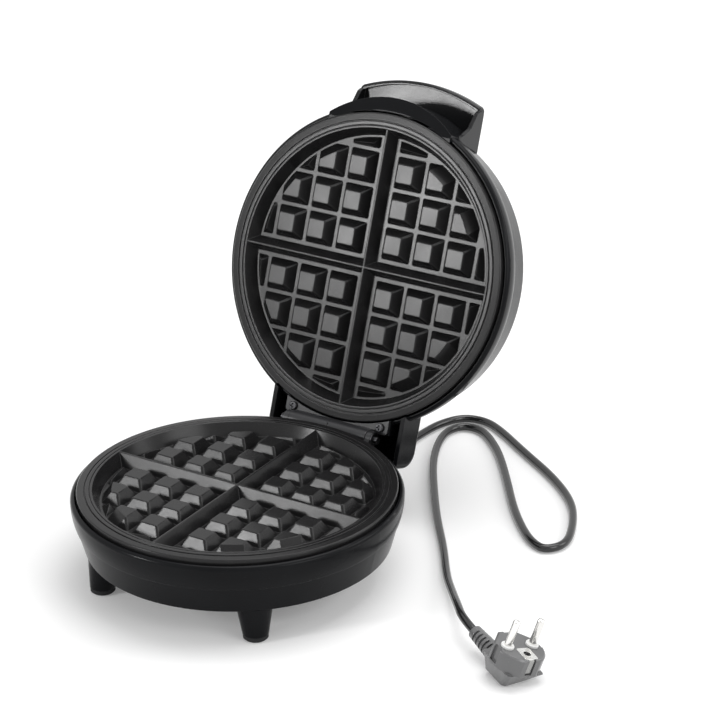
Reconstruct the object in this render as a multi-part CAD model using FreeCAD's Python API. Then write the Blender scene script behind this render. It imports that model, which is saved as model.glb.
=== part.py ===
import FreeCAD, Part
import math
import os

# Round waffle maker, all sizes in millimetres.
# Z is up, the table is Z = 0, the handle is at -Y and the hinge at +Y.
# The lid is drawn closed and then turned about the hinge into its open rest pose.

V = FreeCAD.Vector

# Height of the base, added up from the table
PAD_H = 3.5              # rubber pads
HEEL_FLOOR = 3.0         # floor of the rear heel
HEEL_ROOM = 14.2         # free height in the heel
HEEL_ROOF = 2.8          # from there up to the lower edge of the base wall
COVER_UP = 2.0           # the bottom cover reaches this far up into the base
COVER_SINK = 1.0         # and stands out this far below the wall
WIRE_SPACE = 5.5         # above the cover, for leads and screw heads
ARM_T = 5.0              # arms that carry the plate posts
SHIELD_SPACE = 13.5      # from the heat shield up to the plate
PLATE_T = 3.5
FLOOR_DEPTH = 9.0        # cooking floor below the rim
RIM_GAP = 0.2            # each plate stays this far from the parting plane
OPEN_DEG = 110.0         # lid opening

FOOT_LINE_Z = PAD_H + HEEL_FLOOR + HEEL_ROOM + HEEL_ROOF
COVER_LOW = FOOT_LINE_Z - COVER_SINK
COVER_TOP = FOOT_LINE_Z + COVER_UP
SHIELD_Z = COVER_TOP + WIRE_SPACE + ARM_T
PART_Z = SHIELD_Z + SHIELD_SPACE + PLATE_T + FLOOR_DEPTH + RIM_GAP

# Plates, from the outer edge inwards
RIM_OUT_R = 103.8        # outer edge of the flange
FLANGE_W = 4.8
FLANGE_DROP = 0.4        # its edge below the rim
FLANGE_T = 2.5
FLANGE_EDGE = 0.6
SKIRT_H = 5.9            # turned-down edge of the flange
SKIRT_T = 2.2
SEAM_W = 1.1             # groove inside the flange
SEAM_DEPTH = 1.0
RING_W = 4.3             # flat ring on the rim, with a fine line in it
BEAD_W = 1.3             # from the pocket to that line
LINE_W = 0.8
LINE_DEPTH = 0.8
DRAFT = 4.6              # the pocket wall leans by this
CELL = 24.0              # grid pitch
CHANNEL = 2.6            # floor left between two studs
STUD_TOP = 12.6
STUD_BELOW = 1.5         # stud tops below the rim
STUD_EDGE = 0.7
STUD_CORNER = 1.6
RIB_HALF = 5.0
RIB_EDGE = 0.7
POST_IN = 11.0           # screw posts from the edge of the floor
POST_DIA = 10.0
PLATE_SCREW = 3.2
POST_ANGLES = (45, 135, 225, 315)

SEAM_R = RIM_OUT_R - FLANGE_W
RING_R = SEAM_R - SEAM_W
RIM_IN_R = RING_R - RING_W
FLOOR_R = RIM_IN_R - DRAFT
POST_R = FLOOR_R - POST_IN
STUD_BASE = CELL - CHANNEL
STUD_H = FLOOR_DEPTH - STUD_BELOW
FIRST = RIB_HALF + CHANNEL / 2

# Shells
WALL = 2.5
LIP_GAP = 1.2            # between a plate and its shell
LIP_W = 2.8
LIP_DROP = 4.0           # the shell lips sit this far behind the parting plane
LIP_TURN = 2.0           # rounding of the lip
LIP_TURN_H = 3.2
CREASE_IN = 2.2          # the wall has drawn in by this at the crease
CREASE_STEP = 0.8
CREASE_DROP = 20.5       # from the parting plane down to the crease of the base
FOOT_IN = 5.6            # taper of the base below the crease
COVER_GAP = 0.6
LID_CREASE = 18.0        # from the parting plane up to the crease of the lid
LID_TAPER = 5.6
LID_ROUND = 7.0          # height of the rounded edge of the lid
LID_H = 47.5             # height of the lid above the parting plane

LIP_IN_R = RIM_OUT_R + LIP_GAP
LIP_R = LIP_IN_R + LIP_W
CREASE_R = LIP_R - CREASE_IN
FOOT_LINE_R = CREASE_R - FOOT_IN
LID_TOP_R = CREASE_R - LID_TAPER
CROWN_R = LID_TOP_R - 6.6
CROWN_DROP = 2.4
LID_TOP = PART_Z + LID_H

# Bottom cover and its screws
COVER_SCREW_IN = 14.0
COVER_SCREW_DIA = 3.0
COVER_ANGLES = (18, 162, 205, 335)
BOSS_R = 4.5
BOSS_GAP = 2.0           # bosses stay this far below the heat shield
VENT_PITCH = 9.0
VENT_W = 3.0
VENT_HALF = 30.0
COVER_SCREW_R = FOOT_LINE_R - COVER_SCREW_IN
BOSS_TOP = SHIELD_Z - BOSS_GAP

# Hinge
AXIS_DROP = 6.0          # hinge axis below the parting plane
AXIS_OUT = 2.7           # hinge axis outside the lip
TUBE_R = 5.75
PIN_DIA = 5.0
PIN_OUT = 3.9            # pin beyond the ears
TUBE_HALF = 30.2
EAR_GAP = 0.4
EAR_T = 3.5
EAR_CLEAR = 0.6          # ears below the parting plane
LEAF_T = 2.0
HINGE_SCREW_X = 34.5
HINGE_SCREW_IN = 7.9
HINGE_SCREW_DIA = 3.2
LEDGE_DROP = 8.2         # ledge of the base below the hinge axis
LEDGE_T = 6.0
LEDGE_SIDE = 5.9
LEDGE_SCREW_X = 20.0
LEDGE_SCREW_IN = 10.0

AXIS_Y = LIP_R + AXIS_OUT
AXIS_Z = PART_Z - AXIS_DROP
LEDGE_Z = AXIS_Z - LEDGE_DROP
EAR_R = AXIS_DROP - EAR_CLEAR
EAR_X = TUBE_HALF + EAR_GAP
LEDGE_HALF = EAR_X + EAR_T + LEDGE_SIDE
HINGE_SCREW_Y = AXIS_Y - HINGE_SCREW_IN
LEDGE_SCREW_Y = AXIS_Y - LEDGE_SCREW_IN
LEAF_Y = AXIS_Y - 3.5    # rear edge of the flat hinge leaf
LEDGE_Y = AXIS_Y - 2.5   # rear edge of the ledge
FLANGE_HALF = HINGE_SCREW_X + 6.0

# Hood behind the lid
HOOD_HALF = 52.0
HOOD_OUT = 17.5          # from the hinge axis
HOOD_H = 25.0
HOOD_WALL = 3.0
HOOD_ROUND = 12.0
HOOD_Y = AXIS_Y + HOOD_OUT

# Handle
TONGUE_HALF = 47.5
TONGUE_BELOW = 7.3       # under the top of the lid
TONGUE_T = 3.5
TONGUE_LIP = 3.5         # rim of the grip
TONGUE_RIM = 2.7
TONGUE_ROUND = 2.0       # outer edge of that rim
TONGUE_REACH = 10.0      # corners of the grip from the lip
TONGUE_BOW = 9.6         # and its middle from the corners
BULGE_OUT = 7.7          # swelling under the grip, from the lip
BULGE_SIDE = 9.8
BULGE_LEAN = 5.5
BULGE_FRONT = 2.0        # front face of the swelling from the parting plane
BULGE_SLANT = 0.23
BULGE_RUN = BULGE_SIDE + 2.2  # the slant starts this far inside the lip
HANDLE_SCREW_X = 22.0
HANDLE_SCREW_IN = 8.4
HANDLE_SCREW_DIA = 2.6
TONGUE_H = LID_H - TONGUE_BELOW
TONGUE_SIDE = LIP_R + TONGUE_REACH
TONGUE_MID = TONGUE_SIDE + TONGUE_BOW
HANDLE_SCREW_Y = LIP_R - HANDLE_SCREW_IN

# Lamps
LAMP_X = 12.0
LAMP_Y = -58.0
LENS_R = 3.95
LENS_GAP = 0.15
LENS_FLANGE_R = 5.5
LENS_FLANGE_T = 1.95

# Heating
ELEMENT_IN = 16.0        # heating ring inside the screw posts
ELEMENT_DIA = 6.5
ELEMENT_SEAT = 0.05
ELEMENT_BEND = 5.0
BED_WALL = 2.25
TAB_LEN = 6.0            # terminals on the element ends
TAB_CLEAR = 0.8          # above the cover
LEAD_DIA = 2.4
LEAD_LEN = 6.75
SHIELD_T = 0.8
SHIELD_OUT = 7.0         # shield beyond the posts
SHIELD_FLARE = 2.0
SHIELD_RISE = 3.0
ARM_HALF = 7.0
STAT_R = 9.0
STAT_H = 9.0
STAT_NECK = 3.0
STAT_TAB = 15.0          # tips of the thermostat tabs from the middle
BLOCK_D = 11.0           # terminal block
BLOCK_SIDE = 2.7
BLOCK_CLEAR = 1.0        # under the shield
ELEMENT_R = POST_R - ELEMENT_IN
ELEMENT_DROP = ELEMENT_DIA / 2 + ELEMENT_SEAT
UNDER_Z = PART_Z - RIM_GAP - FLOOR_DEPTH - PLATE_T

# Legs and heel
LEG_IN = 8.63            # middle of a foot from the lower edge of the wall
LEG_ANGLE = 40.38        # from the Y axis
LEG_TOP_R = 12.0
LEG_LOW_R = 8.4
LEG_PAD_EDGE = 0.3
HEEL_HALF = 27.0
HEEL_OUT = 13.5          # rear face of the heel from the hinge axis
HEEL_PAD_R = 7.0
HEEL_PAD_IN = 10.0
LEG_X = (FOOT_LINE_R - LEG_IN) * math.sin(math.radians(LEG_ANGLE))
LEG_Y = (FOOT_LINE_R - LEG_IN) * math.cos(math.radians(LEG_ANGLE))
HEEL_Y = AXIS_Y + HEEL_OUT
HEEL_PAD_X = HEEL_HALF - HEEL_PAD_IN
HEEL_PAD_Y = HEEL_Y - HEEL_PAD_IN - 0.5

# Cord and its clamp
CORD_DIA = 5.5
GLAND_R = 5.4
GLAND_EDGE = 0.5
BOOT_LEN = 26.0
TAIL_IN = 2.0            # the inner lead starts to rise this far inside the wall
TAIL_RISE = 10.0
CLAMP_IN = 9.75
CLAMP_W = 6.5
CLAMP_SCREW_X = 8.5
CLAMP_SCREW_DIA = 2.2
GLAND_Z = PAD_H + HEEL_FLOOR + HEEL_ROOM / 2
BOOT_END_Y = HEEL_Y + BOOT_LEN
CLAMP_Y = HEEL_Y - CLAMP_IN

# Plug, drawn with its face at Z = 0, the pins along Z and the cord along +Y
PLUG_TILT = 11.2
PLUG_HEADING = 152.5
PLUG_ROLL = 15.0
PLUG_FACE = V(224.4, -27.9, 22.1)
PLUG_R = 17.0
PLUG_DISC = 12.0
PLUG_DEPTH = 22.1        # at the middle; the sole is level across when the plug lies rolled over
PLUG_FLAT = 15.8
PLUG_CORNER = 15.2       # slanting flats beside the cord
SOLE_HALF = 10.0
SOLE_PITCH = 5.0
PIN_PITCH = 19.0
PIN_LEN = 19.0
PIN_R = 2.4
PIN_ROOT = 10.0
COLLAR_R = 4.2
COLLAR_H = 1.5
COLLAR_SINK = 1.2
EARTH_Y = -8.6
EARTH_HALF = 4.9
EARTH_LONG = 5.8
CLIP_HALF = 1.9
NOTCH_HALF = 3.2         # guide notches at the sides
NOTCH_DEPTH = 1.9
RELIEF_DEPTH = 18.4
RELIEF_START = 12.0
RELIEF_END = 40.0
RELIEF_R = 6.3
RELIEF_TIP_R = 4.6


def box(x0, x1, y0, y1, z0, z1):
    return Part.makeBox(x1 - x0, y1 - y0, z1 - z0, V(x0, y0, z0))


def cyl(r, x, y, z0, z1):
    return Part.makeCylinder(r, z1 - z0, V(x, y, z0))


def revolve(points):
    wire = Part.makePolygon([V(r, 0, z) for r, z in points + points[:1]])
    return Part.Face(wire).revolve(V(0, 0, 0), V(0, 0, 1), 360)


def prism_x(points, x0, x1):
    wire = Part.makePolygon([V(x0, y, z) for y, z in points + points[:1]])
    return Part.Face(wire).extrude(V(x1 - x0, 0, 0))


def fuse(first, rest):
    return first.fuse(rest).removeSplitter()


def cut(first, rest):
    return first.cut(rest)


def around(shape, angles):
    out = []
    for a in angles:
        s = shape.copy()
        s.rotate(V(0, 0, 0), V(0, 0, 1), a)
        out.append(s)
    return out


def mirrored(shape):
    return shape.mirror(V(0, 0, PART_Z), V(0, 0, 1))


def opened(shape):
    s = shape.copy()
    s.rotate(V(0, AXIS_Y, AXIS_Z), V(1, 0, 0), -OPEN_DEG)
    return s


def group(shapes):
    return shapes[0] if len(shapes) == 1 else Part.makeCompound(shapes)


def save(name, shape):
    shape.exportStep("parts/" + name + ".step")
    sound = all(s.isValid() for s in shape.Solids)
    print(name, len(shape.Solids), "solids", round(shape.Volume / 1000.0, 2), "cm3", sound)


def screw(x, y, z, up, shank, length, head, head_h, cross):
    # Pan head screw with its bearing face at (x, y, z); the shank runs along +Z or -Z.
    s = 1 if up else -1
    body = Part.makeCylinder(shank / 2, length, V(x, y, z), V(0, 0, s))
    top = Part.makeCylinder(head / 2, head_h, V(x, y, z), V(0, 0, -s))
    far = [e for e in top.Edges if abs(e.BoundBox.ZMin - (z - s * head_h)) < 1e-6
           and abs(e.BoundBox.ZMax - (z - s * head_h)) < 1e-6]
    top = top.makeFillet(head_h * 0.45, far)
    if cross:
        zt = z - s * head_h
        low, high = sorted((zt + s * head_h * 0.6, zt - s))
        a = box(x - head * 0.28, x + head * 0.28, y - 0.5, y + 0.5, low, high)
        b = box(x - 0.5, x + 0.5, y - head * 0.28, y + head * 0.28, low, high)
        top = top.cut(a.fuse(b))
    return body.fuse(top).removeSplitter()


def tube(points, dia):
    # Straight runs joined by tangent arcs; returns the solid, its length and the radii.
    pts = [V(*p) for p in points]
    edges = []
    radii = []
    here = pts[0]
    length = 0.0
    for i in range(1, len(pts) - 1):
        a = pts[i - 1] - pts[i]
        b = pts[i + 1] - pts[i]
        turn = math.pi - a.getAngle(b)
        back = 0.45 * min(a.Length, b.Length)
        r = back / math.tan(turn / 2)
        ua = a.normalize()
        ub = b.normalize()
        p = pts[i] + ua * back
        q = pts[i] + ub * back
        mid = (ua + ub).normalize()
        m = pts[i] + mid * (r / math.cos(turn / 2) - r)
        edges.append(Part.makeLine(here, p))
        edges.append(Part.Arc(p, m, q).toShape())
        radii.append(r)
        here = q
    edges.append(Part.makeLine(here, pts[-1]))
    wire = Part.Wire(edges)
    length = wire.Length
    start = (pts[1] - pts[0]).normalize()
    circle = Part.Wire([Part.makeCircle(dia / 2, pts[0], start)])
    solid = wire.makePipeShell([circle], True, False)
    if solid.Volume < 0:
        solid.reverse()
    return solid, length, radii


# Plates

def stud(cx, cy, z0):
    def square(half, z):
        c = [(-1, -1), (1, -1), (1, 1), (-1, 1), (-1, -1)]
        return Part.makePolygon([V(cx + half * a, cy + half * b, z) for a, b in c])
    body = Part.makeLoft([square(STUD_BASE / 2, z0), square(STUD_TOP / 2, z0 + STUD_H)], True, True)
    slanted = [e for e in body.Edges if e.BoundBox.ZLength > STUD_H / 2]
    body = body.makeFillet(STUD_CORNER, slanted)
    top = [e for e in body.Edges if e.BoundBox.ZMin > z0 + STUD_H - 0.01]
    return body.makeFillet(STUD_EDGE, top)


def studs(z0):
    # Studs near the wall are cut back by a cone and end as wedges.
    spread = (STUD_BASE - STUD_TOP) / 2
    foot = FLOOR_R - STUD_BELOW
    cone = Part.makeCone(foot, foot - 1.5 * spread, STUD_H, V(0, 0, z0))
    out = []
    mid = FIRST + CELL / 2
    rows = int(FLOOR_R / CELL) + 1
    for i in range(rows):
        for j in range(rows):
            x = mid + CELL * i
            y = mid + CELL * j
            if math.hypot(x - STUD_BASE / 2 + 3.0, y - STUD_BASE / 2 + 3.0) > FLOOR_R:
                continue
            s = stud(x, y, z0)
            if math.hypot(x + STUD_BASE / 2, y + STUD_BASE / 2) > FLOOR_R - 2.0:
                s = s.common(cone)
            if s.Volume < 120.0:
                continue
            s = s.Solids[0]
            out += around(s, (0, 90, 180, 270))
    return out


def ribs(z0, top):
    h = top - 0.3 - z0
    pts = [(-RIB_HALF, z0), (RIB_HALF, z0), (RIB_EDGE, z0 + h), (-RIB_EDGE, z0 + h)]
    r = prism_x(pts, -RIM_IN_R - 0.8, RIM_IN_R + 0.8)
    along = [e for e in r.Edges if e.BoundBox.ZMin > z0 + h - 0.01 and e.BoundBox.XLength > RIM_IN_R]
    r = r.makeFillet(RIB_EDGE * 0.85, along)
    s = r.copy()
    s.rotate(V(0, 0, 0), V(0, 0, 1), 90)
    return r.fuse(s)


def plate():
    top = PART_Z - RIM_GAP
    low = top - FLOOR_DEPTH
    line = RIM_IN_R + BEAD_W
    edge = top - FLANGE_DROP
    profile = [(0, low), (FLOOR_R, low), (RIM_IN_R, top), (line, top), (line + 0.2, top - LINE_DEPTH),
               (line + LINE_W - 0.2, top - LINE_DEPTH), (line + LINE_W, top), (RING_R, top),
               (RING_R + 0.2, top - SEAM_DEPTH), (SEAM_R - 0.2, top - SEAM_DEPTH),
               (SEAM_R, top - FLANGE_DROP / 2), (RIM_OUT_R - FLANGE_EDGE, edge),
               (RIM_OUT_R, edge - FLANGE_EDGE), (RIM_OUT_R, top - SKIRT_H),
               (RIM_OUT_R - SKIRT_T, top - SKIRT_H), (RIM_OUT_R - SKIRT_T, edge - FLANGE_T),
               (SEAM_R - 0.3, top - FLANGE_T - 2.1), (RIM_IN_R - 0.4, UNDER_Z), (0, UNDER_Z)]
    body = revolve(profile)
    bed_half = ELEMENT_DIA / 2 + BED_WALL
    bed_low = UNDER_Z - ELEMENT_DROP
    bed = revolve([(ELEMENT_R - bed_half, bed_low), (ELEMENT_R + bed_half, bed_low),
                   (ELEMENT_R + bed_half, UNDER_Z + 0.5), (ELEMENT_R - bed_half, UNDER_Z + 0.5)])
    groove = Part.makeTorus(ELEMENT_R, ELEMENT_DIA / 2, V(0, 0, bed_low))
    post = cyl(POST_DIA / 2, POST_R, 0, SHIELD_Z + SHIELD_T, UNDER_Z + 0.5)
    hole = cyl(PLATE_SCREW / 2, POST_R, 0, SHIELD_Z - 1, UNDER_Z - 2.7)
    body = body.fuse([bed] + around(post, POST_ANGLES))
    body = body.cut([groove] + around(hole, POST_ANGLES))
    rib = ribs(low - 0.5, top)
    body = body.fuse([rib] + studs(low))
    return body.removeSplitter()


def element():
    # Ring with two ends that turn away from the plate; also gives the place of one end.
    z = UNDER_Z - ELEMENT_DROP
    end_z = COVER_TOP + TAB_CLEAR + TAB_LEN
    a = math.radians(17.0)
    e1 = V(ELEMENT_R * math.sin(a), ELEMENT_R * math.cos(a), z)
    e2 = V(-e1.x, e1.y, z)
    far = V(0, -ELEMENT_R, z)
    edges = []
    bend = ELEMENT_BEND
    for e, side in ((e1, -1), (e2, 1)):
        t = V(side * math.cos(a), math.sin(a), 0)
        m = e + t * (bend * math.sin(math.pi / 4)) - V(0, 0, bend * (1 - math.cos(math.pi / 4)))
        q = e + t * bend - V(0, 0, bend)
        edges.append((Part.Arc(e, m, q).toShape(), Part.makeLine(q, V(q.x, q.y, end_z)), q))
    arc = Part.Arc(e1, far, e2).toShape()
    wire = Part.Wire(Part.__sortEdges__([edges[0][1], edges[0][0], arc, edges[1][0], edges[1][1]]))
    first = wire.OrderedVertexes[0].Point
    circle = Part.Wire([Part.makeCircle(ELEMENT_DIA / 2, first, V(0, 0, 1))])
    return wire.makePipeShell([circle], True, False), edges[0][2], end_z


def shield(leg):
    z = SHIELD_Z
    r = POST_R + SHIELD_OUT
    edge = r + SHIELD_FLARE
    s = revolve([(0, z), (r, z), (edge, z + SHIELD_RISE), (edge - SHIELD_T, z + SHIELD_RISE),
                 (r - SHIELD_T, z + SHIELD_T), (0, z + SHIELD_T)])
    holes = [cyl(STAT_R + 7.0, 0, 0, z - 1, z + 2), box(-6, 6, 0, STAT_TAB + 30.0, z - 1, z + 2)]
    for x in (leg.x, -leg.x):
        holes.append(cyl(ELEMENT_DIA / 2 + BED_WALL, x, leg.y, z - 1, z + 2))
    holes += around(cyl(PLATE_SCREW / 2 + 0.6, POST_R, 0, z - 1, z + 2), POST_ANGLES)
    return s.cut(holes)


def plate_screws():
    s = screw(POST_R, 0, SHIELD_Z - ARM_T, True, PLATE_SCREW, ARM_T + 8.0, 7.0, 2.4, False)
    return group(around(s, POST_ANGLES))


def plate_arms():
    # Arms of a shell that carry the plate posts.
    arm = box(POST_R - ARM_HALF, CREASE_R, -ARM_HALF, ARM_HALF, SHIELD_Z - ARM_T, SHIELD_Z)
    hole = cyl(PLATE_SCREW / 2 + 0.6, POST_R, 0, SHIELD_Z - ARM_T - 4, SHIELD_Z + 1)
    return around(arm.cut(hole), POST_ANGLES)


# Base

def base_profile(outer):
    lip = PART_Z - LIP_DROP
    crease = PART_Z - CREASE_DROP
    wall_r = CREASE_R - CREASE_STEP
    if outer:
        return [(0, FOOT_LINE_Z), (FOOT_LINE_R, FOOT_LINE_Z), (wall_r, crease - CREASE_STEP * 0.8)]
    return [(0, FOOT_LINE_Z - 1), (FOOT_LINE_R - WALL - 0.27, FOOT_LINE_Z - 1), (wall_r - WALL, crease),
            (LIP_IN_R, crease + 8.0), (LIP_IN_R, lip + 1), (0, lip + 1)]


def rounded_band(points, a, b, c, d):
    # Outline with a convex band a-b-c-d that closes to the axis.
    lines = [V(r, 0, z) for r, z in points] + [V(a[0], 0, a[1])]
    edges = [Part.makeLine(p, q) for p, q in zip(lines, lines[1:]) if (p - q).Length > 1e-6]
    edges.append(Part.Arc(V(a[0], 0, a[1]), V(b[0], 0, b[1]), V(c[0], 0, c[1])).toShape())
    m = V(c[0] - (c[0] - d[0]) * 0.32, 0, d[1] - (d[1] - c[1]) * 0.28)
    edges.append(Part.Arc(V(c[0], 0, c[1]), m, V(d[0], 0, d[1])).toShape())
    return edges


def revolve_edges(edges):
    return Part.Face(Part.Wire(edges)).revolve(V(0, 0, 0), V(0, 0, 1), 360)


def base_outer():
    lip = PART_Z - LIP_DROP
    crease = PART_Z - CREASE_DROP
    mid = (crease + lip - LIP_TURN_H) / 2
    edges = rounded_band(base_profile(True), (CREASE_R, crease), (LIP_R - CREASE_IN / 4, mid),
                         (LIP_R, lip - LIP_TURN_H), (LIP_R - LIP_TURN, lip))
    end = V(LIP_R - LIP_TURN, 0, lip)
    edges.append(Part.makeLine(end, V(0, 0, lip)))
    edges.append(Part.makeLine(V(0, 0, lip), V(0, 0, FOOT_LINE_Z)))
    return revolve_edges(edges)


def ledge_bores():
    return [cyl(HINGE_SCREW_DIA / 2 - 0.1, x, LEDGE_SCREW_Y, LEDGE_Z - LEDGE_T - 0.5, LEDGE_Z + 1)
            for x in (-LEDGE_SCREW_X, LEDGE_SCREW_X)]


def base_shell():
    keep = base_outer()
    shell = keep.cut(revolve(base_profile(False)))
    extras = plate_arms()
    boss = cyl(BOSS_R, COVER_SCREW_R, 0, COVER_TOP, BOSS_TOP)
    web = box(COVER_SCREW_R, CREASE_R, -1.5, 1.5, COVER_TOP, BOSS_TOP)
    bore = cyl(COVER_SCREW_DIA / 2, COVER_SCREW_R, 0, COVER_TOP - 1, BOSS_TOP - 1)
    extras += around(boss.fuse(web), COVER_ANGLES)
    extras.append(box(-LEDGE_HALF, LEDGE_HALF, LEDGE_Y - 15.0, LEDGE_Y, LEDGE_Z - LEDGE_T, LEDGE_Z))
    extras = [e.common(keep) for e in extras]
    shell = shell.fuse(extras)
    notch = box(-LEDGE_HALF - 3, LEDGE_HALF + 3, LEDGE_Y - 16.0, LEDGE_Y + 6.0, LEDGE_Z, PART_Z)
    return shell.cut([notch] + ledge_bores() + around(bore, COVER_ANGLES)).removeSplitter()


def leg(sx, sy):
    x = sx * LEG_X
    y = sy * LEG_Y
    k = (FOOT_LINE_R - LEG_TOP_R) / math.hypot(LEG_X, LEG_Y)
    z1 = FOOT_LINE_Z - LEG_PAD_EDGE
    low = Part.Wire([Part.makeCircle(LEG_LOW_R, V(x, y, PAD_H))])
    high = Part.Wire([Part.makeCircle(LEG_TOP_R, V(x * k, y * k, z1))])
    return Part.makeLoft([low, high], True, True)


def base_cover(block_rear):
    disc = cyl(FOOT_LINE_R - WALL - COVER_GAP, 0, 0, COVER_LOW, COVER_TOP)
    front = block_rear - 1.0
    floor = PAD_H + HEEL_FLOOR
    heel = box(-HEEL_HALF, HEEL_HALF, front, HEEL_Y, PAD_H, FOOT_LINE_Z - LEG_PAD_EDGE)
    upright = [e for e in heel.Edges if e.BoundBox.ZLength > 10 and e.BoundBox.YMin > HEEL_Y - 1]
    heel = heel.makeFillet(6.0, upright)
    side = HEEL_HALF - WALL
    hollow = box(-side, side, front + WALL, HEEL_Y - WALL, floor, floor + HEEL_ROOM)
    way = box(-side, side, front + WALL, FOOT_LINE_R - TAIL_IN + 0.5, floor, COVER_TOP + 1)
    body = disc.fuse([heel] + [leg(a, b) for a in (-1, 1) for b in (-1, 1)])
    cuts = [hollow, way, Part.makeCylinder(GLAND_R, 10, V(0, HEEL_Y - 6, GLAND_Z), V(0, 1, 0))]
    hole = cyl(COVER_SCREW_DIA / 2 + 0.4, COVER_SCREW_R, 0, COVER_LOW - 1, COVER_TOP + 1)
    cuts += around(hole, COVER_ANGLES)
    for x in (-CLAMP_SCREW_X, CLAMP_SCREW_X):
        cuts.append(cyl(CLAMP_SCREW_DIA / 2, x, CLAMP_Y, PAD_H + 0.5, floor + 1))
    for i in range(-3, 4):
        x = i * VENT_PITCH - VENT_W / 2
        x1 = x + VENT_W
        cuts.append(box(x, x1, -VENT_HALF, VENT_HALF, COVER_LOW - 1, COVER_TOP + 1))
    return body.cut(cuts).removeSplitter()


def cover_screws():
    length = BOSS_TOP - 1.5 - COVER_LOW
    s = screw(COVER_SCREW_R, 0, COVER_LOW, True, COVER_SCREW_DIA, length, 6.4, 2.2, True)
    return group(around(s, COVER_ANGLES))


def pad(x, y, r):
    p = cyl(r, x, y, 0, PAD_H)
    low = [e for e in p.Edges if e.BoundBox.ZMax < 0.01]
    return p.makeChamfer(0.9, low)


def thermostat(z):
    body = cyl(STAT_R, 0, 0, z - STAT_H, z)
    neck = cyl(STAT_R - 3.0, 0, 0, z - STAT_H - STAT_NECK, z - STAT_H)
    tabs = [box(-3, 3, STAT_R - 4, STAT_TAB, z - 6.8, z - 6.0),
            box(-3, 3, -STAT_TAB, 4 - STAT_R, z - 6.8, z - 6.0)]
    return body.fuse([neck] + tabs).removeSplitter()


def block_front(leg):
    return leg.y + 1.5 + LEAD_LEN


def terminal_block(leg):
    z = COVER_TOP
    top = SHIELD_Z - BLOCK_CLEAR
    half = leg.x + BLOCK_SIDE
    y = block_front(leg)
    b = box(-half, half, y, y + BLOCK_D, z, top)
    edges = [e for e in b.Edges if e.BoundBox.ZMin > top - 0.5 and e.BoundBox.XLength > half]
    b = b.makeChamfer(1.5, edges)
    cuts = [cyl(2.0, x, y + BLOCK_D / 2, top - 4.5, top + 1) for x in (-half * 0.65, 0, half * 0.65)]
    return b.cut(cuts)


def element_ends(leg, z_end):
    return [box(x - 3, x + 3, leg.y - 1.5, leg.y + 1.5, z_end - TAB_LEN, z_end) for x in (leg.x, -leg.x)]


def element_leads(leg, z_end):
    z = z_end - TAB_LEN / 2 - 0.5
    return [Part.makeCylinder(LEAD_DIA / 2, LEAD_LEN, V(x, leg.y + 1.5, z), V(0, 1, 0))
            for x in (leg.x, -leg.x)]


def thermostat_lead(leg):
    low = COVER_TOP + 4.5
    high = UNDER_Z - 6.4
    pts = [(0, block_front(leg), low), (0, STAT_TAB + 27.0, low),
           (0, STAT_TAB + 14.0, high), (0, STAT_TAB, high)]
    return tube(pts, LEAD_DIA)[0]


# Hinge

def along_x(r, x0, x1):
    return Part.makeCylinder(r, x1 - x0, V(x0, AXIS_Y, AXIS_Z), V(1, 0, 0))


def lower_bracket():
    wide = EAR_X + EAR_T
    y0 = LEDGE_Y - 13.0
    base = box(-wide, wide, y0, LEDGE_Y, LEDGE_Z, LEDGE_Z + LEAF_T)
    for x in (-LEDGE_SCREW_X, LEDGE_SCREW_X):
        base = base.cut(cyl(HINGE_SCREW_DIA / 2 + 0.2, x, LEDGE_SCREW_Y, LEDGE_Z - 1, LEDGE_Z + LEAF_T + 1))
    ears = []
    for s in (-1, 1):
        lo, hi = sorted((s * EAR_X, s * wide))
        pts = [(y0 + 3, LEDGE_Z), (LEDGE_Y, LEDGE_Z), (AXIS_Y + EAR_R * 0.96, AXIS_Z - EAR_R * 0.33),
               (AXIS_Y, AXIS_Z), (AXIS_Y - EAR_R * 0.63, AXIS_Z + EAR_R * 0.78)]
        ears.append(prism_x(pts, lo, hi).fuse(along_x(EAR_R, lo, hi)))
    body = base.fuse(ears)
    return body.cut(along_x(PIN_DIA / 2 + 0.02, -wide - 1, wide + 1)).removeSplitter()


def lid_bracket():
    z1 = PART_Z + LEAF_T
    flange = box(-FLANGE_HALF, FLANGE_HALF, LEAF_Y - 13.0, LEAF_Y, PART_Z, z1)
    flange = flange.cut(cyl(RIM_OUT_R + LIP_GAP - 0.2, 0, 0, PART_Z - 1, z1 + 1))
    corners = [e for e in flange.Edges if e.BoundBox.ZLength > LEAF_T - 0.1
               and abs(e.BoundBox.XMin) > FLANGE_HALF - 0.5 and e.BoundBox.YMin > LEAF_Y - 0.5]
    flange = flange.makeFillet(3.0, corners)
    leaf = box(-TUBE_HALF, TUBE_HALF, AXIS_Y - TUBE_R, AXIS_Y - 1.5, AXIS_Z, PART_Z + 0.2)
    roof = box(-TUBE_HALF, TUBE_HALF, AXIS_Y - TUBE_R, LEAF_Y, PART_Z, z1)
    body = flange.fuse([leaf, roof, along_x(TUBE_R, -TUBE_HALF, TUBE_HALF)])
    cuts = [along_x(PIN_DIA / 2 + 0.08, -TUBE_HALF - 1, TUBE_HALF + 1)]
    cuts.append(box(-0.4, 0.4, AXIS_Y - 4.0, AXIS_Y + TUBE_R + 2, AXIS_Z - TUBE_R - 2, PART_Z - 0.6))
    for x in (-HINGE_SCREW_X, HINGE_SCREW_X):
        cuts.append(cyl(HINGE_SCREW_DIA / 2 + 0.2, x, HINGE_SCREW_Y, PART_Z - 1, z1 + 1))
    return body.cut(cuts).removeSplitter()


def lid_hinge_screws():
    return [screw(x, HINGE_SCREW_Y, PART_Z, True, HINGE_SCREW_DIA, 11.0, 6.2, 1.9, True)
            for x in (-HINGE_SCREW_X, HINGE_SCREW_X)]


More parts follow.
